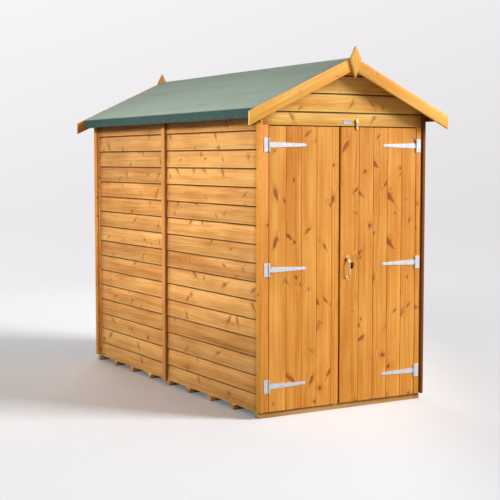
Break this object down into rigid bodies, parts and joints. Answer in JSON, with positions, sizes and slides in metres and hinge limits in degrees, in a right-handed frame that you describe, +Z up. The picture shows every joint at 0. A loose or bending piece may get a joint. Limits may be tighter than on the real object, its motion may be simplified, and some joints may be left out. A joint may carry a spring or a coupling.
{
  "type": "wooden garden shed",
  "caption": "Overlap-clad wooden garden shed with an apex roof in green felt and double doors on T-hinges, for keeping tools and garden gear.",
  "frame": {"origin": "on the ground under the middle of the box that holds the whole shed", "axes": "+Z up; the doors face -Y, so +Y runs from the front to the back along the length; +X is to the right of someone who looks at the doors"},
  "size_m": [1.43, 2.588, 2.1728],
  "materials": {
    "pine": "dip-treated golden pine, matt",
    "pale_pine": "lighter dip-treated pine, planed",
    "roof_felt": "green mineral roofing felt",
    "zinc": "bright zinc-plated steel",
    "brass": "pale plated brass",
    "lock_steel": "dark painted steel"
  },
  "bodies": {
    "shell": {"floor_joists": "pine", "floor_boards": "pine", "left_wall_front_cladding": "pine", "left_wall_rear_cladding": "pine", "right_wall_front_cladding": "pine", "right_wall_rear_cladding": "pine", "left_wall_studs": "pine", "right_wall_studs": "pine", "left_wall_rails": "pine", "right_wall_rails": "pine", "back_wall_cladding": "pine", "back_wall_rails": "pine", "back_wall_studs": "pine", "back_gable_rafters": "pine", "front_gable_cladding": "pine", "front_jamb_boards": "pine", "front_wall_studs": "pine", "door_header": "pine", "front_gable_rafters": "pine", "left_roof_boards": "pine", "right_roof_boards": "pine", "eave_battens": "pine", "roof_purlins": "pine", "front_corner_strips": "pine", "rear_corner_strips": "pine", "side_joint_strips": "pine", "front_barge_boards": "pale_pine", "rear_barge_boards": "pale_pine", "front_finial": "pale_pine", "rear_finial": "pale_pine", "left_roof_felt": "roof_felt", "right_roof_felt": "roof_felt", "hinge_plates": "zinc"},
    "left_door": {"left_door_boards": "pine", "left_door_framing": "pine", "left_door_meeting_strip": "pine", "left_door_hinge_straps": "zinc", "lock_keep": "lock_steel", "door_bolts": "zinc"},
    "right_door": {"right_door_boards": "pine", "right_door_framing": "pine", "right_door_hinge_straps": "zinc", "pull_handle": "brass", "rim_lock": "lock_steel"},
    "turn_button": {"turn_button": "brass"}
  },
  "joints": [
    {"name": "left_door_hinge", "type": "hinge", "parent": "shell", "child": "left_door", "pos_m": [-0.5345, -1.195, 0.872], "axis": [0, 0, -1], "range_deg": [0, 150]},
    {"name": "right_door_hinge", "type": "hinge", "parent": "shell", "child": "right_door", "pos_m": [0.5345, -1.195, 0.872], "axis": [0, 0, 1], "range_deg": [0, 150]},
    {"name": "turn_button_pivot", "type": "hinge", "parent": "shell", "child": "turn_button", "pos_m": [0.082, -1.19, 1.721], "axis": [0, 1, 0], "range_deg": [0, 90]}
  ]
}
